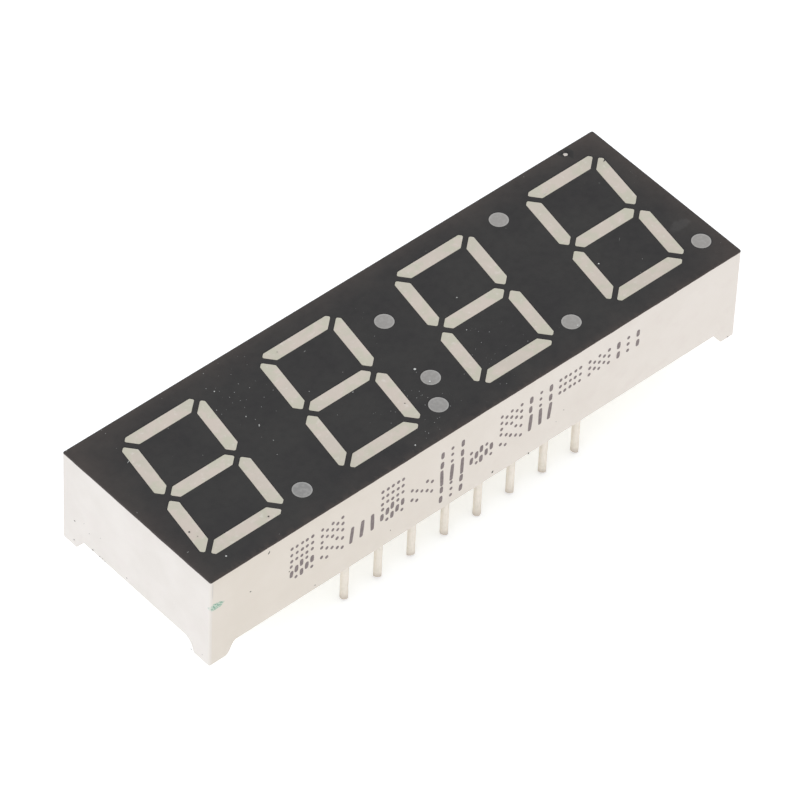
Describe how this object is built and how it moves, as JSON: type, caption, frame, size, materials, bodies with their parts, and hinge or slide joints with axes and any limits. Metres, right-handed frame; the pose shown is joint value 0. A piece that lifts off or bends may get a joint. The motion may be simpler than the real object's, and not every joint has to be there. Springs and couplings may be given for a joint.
{
  "type": "seven segment display module",
  "caption": "Digital clock display module: slanted seven segment digits with decimal points and a colon on a black face, in a white body that stands on rows of pins.",
  "frame": {"origin": "centre of the pin grid on the seating plane, where the soles of the feet meet the host board", "axes": "+X along the row of digits, left to right as read; +Y towards the digits' tops; +Z out of the face"},
  "size_m": [0.0402, 0.0128, 0.0105],
  "materials": {
    "housing": "white moulded plastic, satin, slightly dusty",
    "face": "matt black printed coat",
    "segment": "milky warm grey cast epoxy, unlit",
    "dot": "clear grey cast epoxy, unlit",
    "board": "green circuit board laminate",
    "copper": "plated copper pads",
    "chip": "amber semiconductor",
    "wire": "gold bond wire",
    "pin": "bright tinned wire",
    "solder": "dull solder",
    "potting": "cloudy cast epoxy"
  },
  "bodies": {
    "root": {"reflector_housing": "housing", "face_coat": "face", "digit_1_segment_a": "segment", "digit_1_segment_b": "segment", "digit_1_segment_c": "segment", "digit_1_segment_d": "segment", "digit_1_segment_e": "segment", "digit_1_segment_f": "segment", "digit_1_segment_g": "segment", "digit_2_segment_a": "segment", "digit_2_segment_b": "segment", "digit_2_segment_c": "segment", "digit_2_segment_d": "segment", "digit_2_segment_e": "segment", "digit_2_segment_f": "segment", "digit_2_segment_g": "segment", "digit_3_segment_a": "segment", "digit_3_segment_b": "segment", "digit_3_segment_c": "segment", "digit_3_segment_d": "segment", "digit_3_segment_e": "segment", "digit_3_segment_f": "segment", "digit_3_segment_g": "segment", "digit_4_segment_a": "segment", "digit_4_segment_b": "segment", "digit_4_segment_c": "segment", "digit_4_segment_d": "segment", "digit_4_segment_e": "segment", "digit_4_segment_f": "segment", "digit_4_segment_g": "segment", "decimal_point_1": "dot", "decimal_point_2": "dot", "decimal_point_3": "dot", "decimal_point_4": "dot", "colon_upper": "dot", "colon_lower": "dot", "degree_dot": "dot", "circuit_board": "board", "board_copper": "copper", "led_chips": "chip", "bond_wires": "wire", "pin_1": "pin", "pin_2": "pin", "pin_3": "pin", "pin_4": "pin", "pin_5": "pin", "pin_6": "pin", "pin_7": "pin", "pin_8": "pin", "pin_9": "pin", "pin_10": "pin", "pin_11": "pin", "pin_12": "pin", "pin_13": "pin", "pin_14": "pin", "pin_15": "pin", "pin_16": "pin", "solder_joints": "solder", "back_potting": "potting"}
  },
  "joints": []
}
